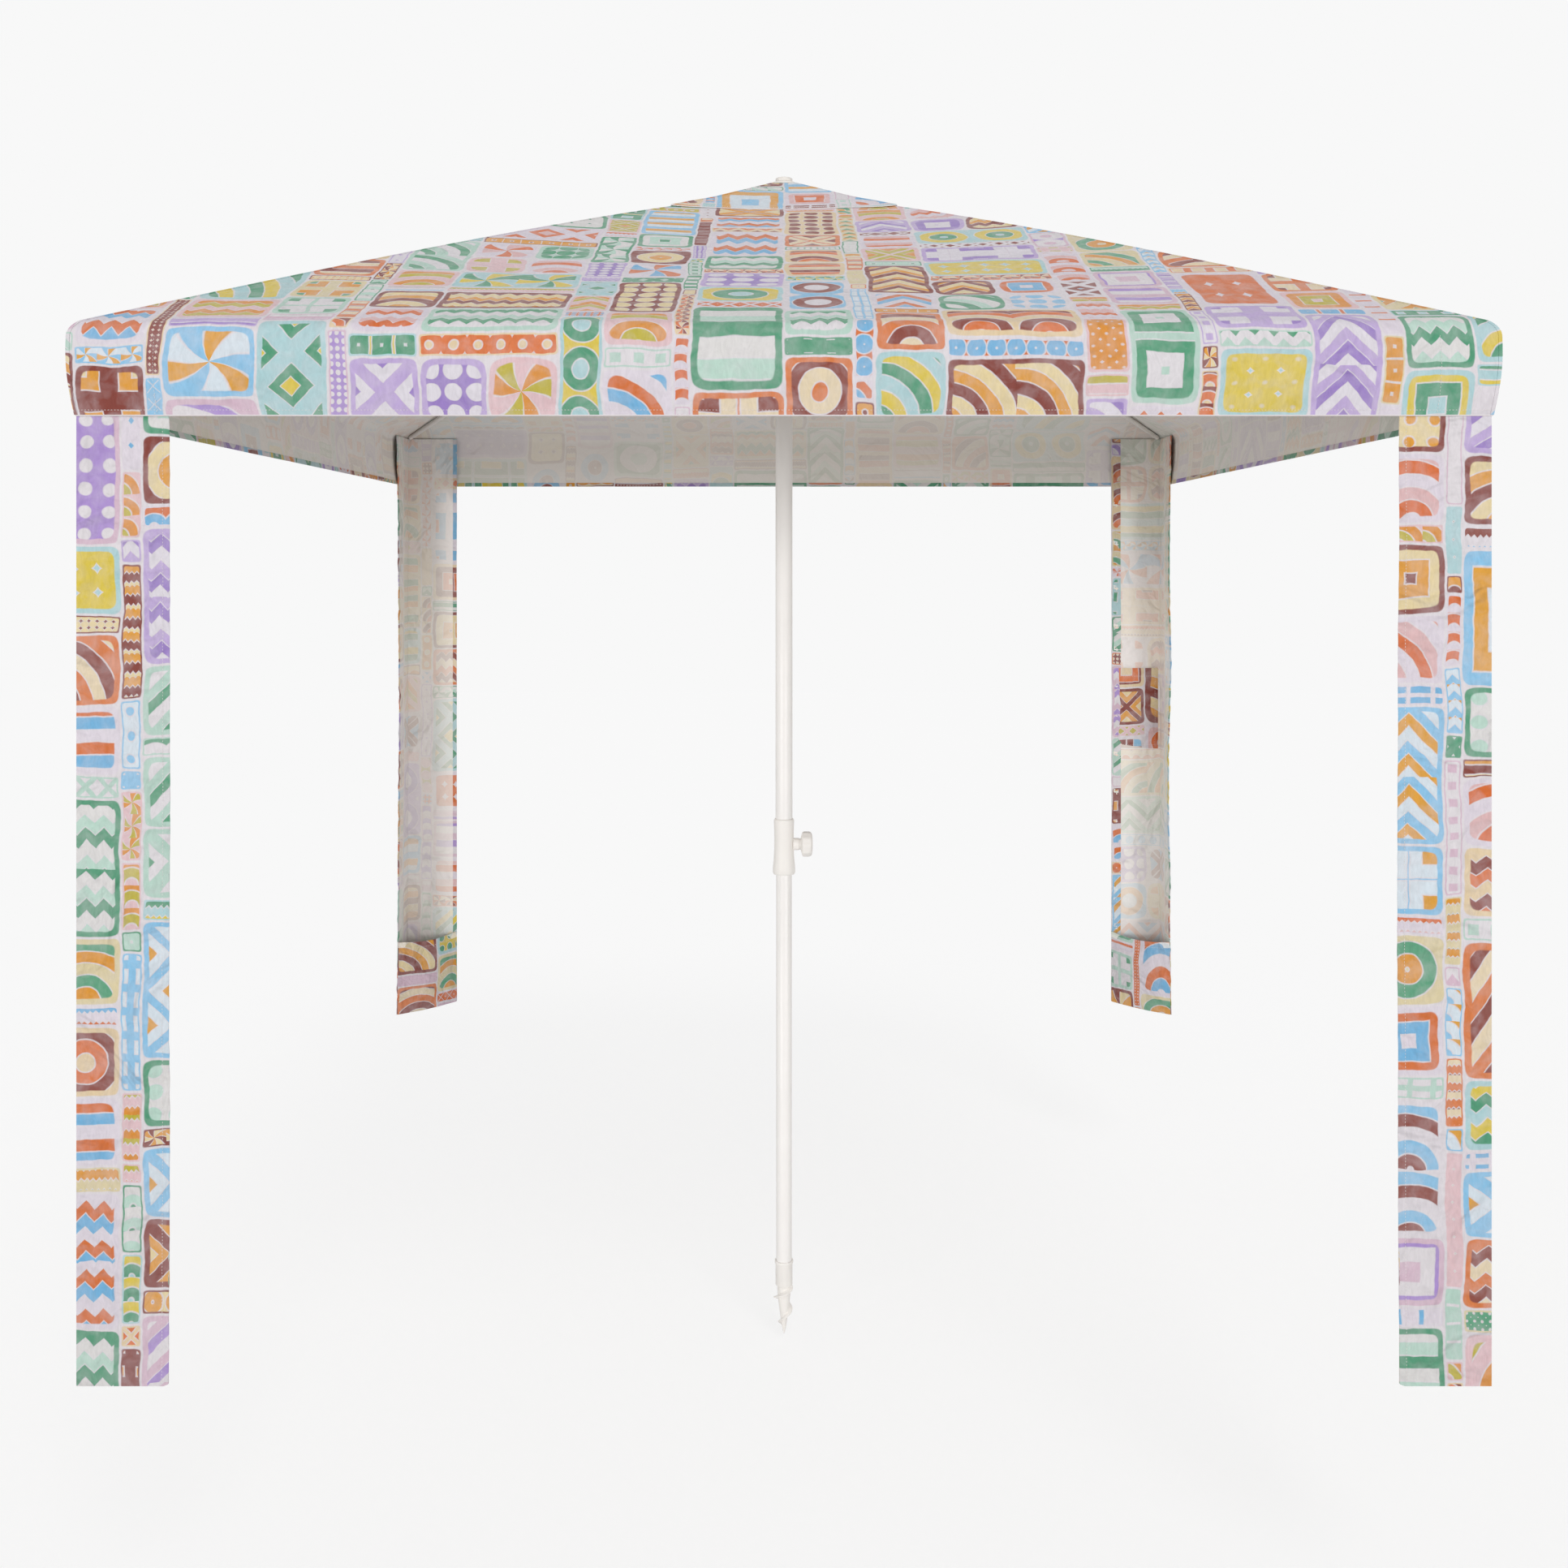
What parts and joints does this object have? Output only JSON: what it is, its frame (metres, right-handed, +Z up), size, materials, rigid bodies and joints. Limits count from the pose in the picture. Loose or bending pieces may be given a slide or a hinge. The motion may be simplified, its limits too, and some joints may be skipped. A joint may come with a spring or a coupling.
{
  "type": "beach tent",
  "caption": "Square beach tent on one centre pole with folding ribs, a vented pyramid canopy, valance, cloth corner legs and sand pockets.",
  "frame": {"origin": "the pole's axis at the level of the sand, which is the level of the leg feet", "axes": "+Z up along the pole, -Y is the front, +X is the side that the clamp knob points to"},
  "size_m": [2.4, 2.4, 2.8008],
  "materials": {
    "coated_aluminium": "satin",
    "white_plastic": "satin",
    "brass": "satin",
    "zinc_steel": "satin",
    "printed_canvas": "matte",
    "pocket_canvas": "matte"
  },
  "bodies": {
    "lower_pole": {"ground_screw": "white_plastic", "lower_tube": "coated_aluminium", "guide_plug": "white_plastic"},
    "upper_pole": {"upper_tube": "coated_aluminium", "clamp_collar": "white_plastic", "clamp_insert": "brass", "crown_hub": "white_plastic", "finial_washer": "white_plastic", "finial": "white_plastic", "crown_pin_rear_right": "zinc_steel", "crown_pin_rear_left": "zinc_steel", "crown_pin_front_left": "zinc_steel", "crown_pin_front_right": "zinc_steel"},
    "clamp_knob": {"clamp_knob": "white_plastic", "clamp_stud": "zinc_steel"},
    "runner": {"runner": "white_plastic", "button_spring": "zinc_steel"},
    "runner_button": {"runner_button": "white_plastic"},
    "rib_rear_right": {"rib_rear_right": "coated_aluminium", "rib_tip_rear_right": "white_plastic", "strut_bracket_rear_right": "coated_aluminium", "roof_right_rear": "printed_canvas", "roof_rear_right": "printed_canvas", "valance_rear_right": "printed_canvas", "vent_cap_rear_right": "printed_canvas"},
    "strut_rear_right": {"strut_rear_right": "coated_aluminium"},
    "leg_rear_right": {"leg_rear_right": "printed_canvas", "sand_pocket_rear_right": "pocket_canvas", "stow_pocket": "pocket_canvas"},
    "rib_rear_left": {"rib_rear_left": "coated_aluminium", "rib_tip_rear_left": "white_plastic", "strut_bracket_rear_left": "coated_aluminium", "roof_rear_left": "printed_canvas", "roof_left_rear": "printed_canvas", "valance_rear_left": "printed_canvas", "vent_cap_rear_left": "printed_canvas"},
    "strut_rear_left": {"strut_rear_left": "coated_aluminium"},
    "leg_rear_left": {"leg_rear_left": "printed_canvas", "sand_pocket_rear_left": "pocket_canvas"},
    "rib_front_left": {"rib_front_left": "coated_aluminium", "rib_tip_front_left": "white_plastic", "strut_bracket_front_left": "coated_aluminium", "roof_left_front": "printed_canvas", "roof_front_left": "printed_canvas", "valance_front_left": "printed_canvas", "vent_cap_front_left": "printed_canvas"},
    "strut_front_left": {"strut_front_left": "coated_aluminium"},
    "leg_front_left": {"leg_front_left": "printed_canvas", "sand_pocket_front_left": "pocket_canvas"},
    "rib_front_right": {"rib_front_right": "coated_aluminium", "rib_tip_front_right": "white_plastic", "strut_bracket_front_right": "coated_aluminium", "roof_front_right": "printed_canvas", "roof_right_front": "printed_canvas", "valance_front_right": "printed_canvas", "vent_cap_front_right": "printed_canvas"},
    "strut_front_right": {"strut_front_right": "coated_aluminium"},
    "leg_front_right": {"leg_front_right": "printed_canvas", "sand_pocket_front_right": "pocket_canvas"}
  },
  "joints": [
    {"name": "pole_height", "type": "slide", "parent": "lower_pole", "child": "upper_pole", "axis": [0, 0, 1], "range_m": [-0.35, 0.15]},
    {"name": "clamp_knob_turn", "type": "hinge", "parent": "upper_pole", "child": "clamp_knob", "pos_m": [0, 0, 0.706], "axis": [1, 0, 0], "range_deg": [-270, 0]},
    {"name": "rib_fold_rear_right", "type": "hinge", "parent": "upper_pole", "child": "rib_rear_right", "pos_m": [0.02475, 0.02475, 2.27842], "axis": [-0.7071, 0.7071, 0], "range_deg": [-0.2, 66.7], "deforming": ["roof_right_rear", "roof_rear_right", "valance_rear_right", "vent_cap_rear_right", "leg_rear_right", "sand_pocket_rear_right", "stow_pocket"]},
    {"name": "strut_turn_rear_right", "type": "hinge", "parent": "rib_rear_right", "child": "strut_rear_right", "pos_m": [0.44126, 0.44126, 2.08427], "axis": [-0.7071, 0.7071, 0], "range_deg": [-133.4, 0.4]},
    {"name": "leg_hang_rear_right", "type": "hinge", "parent": "rib_rear_right", "child": "leg_rear_right", "pos_m": [1.1793, 1.1793, 1.78658], "axis": [-0.7071, 0.7071, 0], "range_deg": [-66.7, 0.2]},
    {"name": "rib_fold_rear_left", "type": "hinge", "parent": "upper_pole", "child": "rib_rear_left", "pos_m": [-0.02475, 0.02475, 2.27842], "axis": [-0.7071, -0.7071, 0], "range_deg": [-0.2, 66.7], "deforming": ["roof_rear_left", "roof_left_rear", "valance_rear_left", "vent_cap_rear_left", "leg_rear_left", "sand_pocket_rear_left"]},
    {"name": "strut_turn_rear_left", "type": "hinge", "parent": "rib_rear_left", "child": "strut_rear_left", "pos_m": [-0.44126, 0.44126, 2.08427], "axis": [-0.7071, -0.7071, 0], "range_deg": [-133.4, 0.4]},
    {"name": "leg_hang_rear_left", "type": "hinge", "parent": "rib_rear_left", "child": "leg_rear_left", "pos_m": [-1.1793, 1.1793, 1.78658], "axis": [-0.7071, -0.7071, 0], "range_deg": [-66.7, 0.2]},
    {"name": "rib_fold_front_left", "type": "hinge", "parent": "upper_pole", "child": "rib_front_left", "pos_m": [-0.02475, -0.02475, 2.27842], "axis": [0.7071, -0.7071, 0], "range_deg": [-0.2, 66.7], "deforming": ["roof_left_front", "roof_front_left", "valance_front_left", "vent_cap_front_left", "leg_front_left", "sand_pocket_front_left"]},
    {"name": "strut_turn_front_left", "type": "hinge", "parent": "rib_front_left", "child": "strut_front_left", "pos_m": [-0.44126, -0.44126, 2.08427], "axis": [0.7071, -0.7071, 0], "range_deg": [-133.4, 0.4]},
    {"name": "leg_hang_front_left", "type": "hinge", "parent": "rib_front_left", "child": "leg_front_left", "pos_m": [-1.1793, -1.1793, 1.78658], "axis": [0.7071, -0.7071, 0], "range_deg": [-66.7, 0.2]},
    {"name": "canopy_fold", "type": "hinge", "parent": "upper_pole", "child": "rib_front_right", "pos_m": [0.02475, -0.02475, 2.27842], "axis": [0.7071, 0.7071, 0], "range_deg": [0, 66.5], "deforming": ["roof_front_right", "roof_right_front", "valance_front_right", "vent_cap_front_right", "leg_front_right", "sand_pocket_front_right"]},
    {"name": "strut_turn_front_right", "type": "hinge", "parent": "rib_front_right", "child": "strut_front_right", "pos_m": [0.44126, -0.44126, 2.08427], "axis": [0.7071, 0.7071, 0], "range_deg": [-133.4, 0.4]},
    {"name": "leg_hang_front_right", "type": "hinge", "parent": "rib_front_right", "child": "leg_front_right", "pos_m": [1.1793, -1.1793, 1.78658], "axis": [0.7071, 0.7071, 0], "range_deg": [-66.7, 0.2]},
    {"name": "runner_slide", "type": "slide", "parent": "upper_pole", "child": "runner", "axis": [0, 0, -1], "range_m": [-0.002, 0.84891]},
    {"name": "button_press", "type": "slide", "parent": "runner", "child": "runner_button", "axis": [0, 1, 0], "range_m": [0, 0.004], "stiffness_N_per_m": 400, "deforming": ["button_spring"]}
  ],
  "couplings": [
    {"joint": "rib_fold_rear_right", "follows": "canopy_fold", "ratio": 1},
    {"joint": "strut_turn_rear_right", "follows": "canopy_fold", "ratio": -2},
    {"joint": "leg_hang_rear_right", "follows": "canopy_fold", "ratio": -1},
    {"joint": "rib_fold_rear_left", "follows": "canopy_fold", "ratio": 1},
    {"joint": "strut_turn_rear_left", "follows": "canopy_fold", "ratio": -2},
    {"joint": "leg_hang_rear_left", "follows": "canopy_fold", "ratio": -1},
    {"joint": "rib_fold_front_left", "follows": "canopy_fold", "ratio": 1},
    {"joint": "strut_turn_front_left", "follows": "canopy_fold", "ratio": -2},
    {"joint": "leg_hang_front_left", "follows": "canopy_fold", "ratio": -1},
    {"joint": "strut_turn_front_right", "follows": "canopy_fold", "ratio": -2},
    {"joint": "leg_hang_front_right", "follows": "canopy_fold", "ratio": -1},
    {"joint": "runner_slide", "follows": "canopy_fold", "m_per_rad": 0.72969}
  ]
}
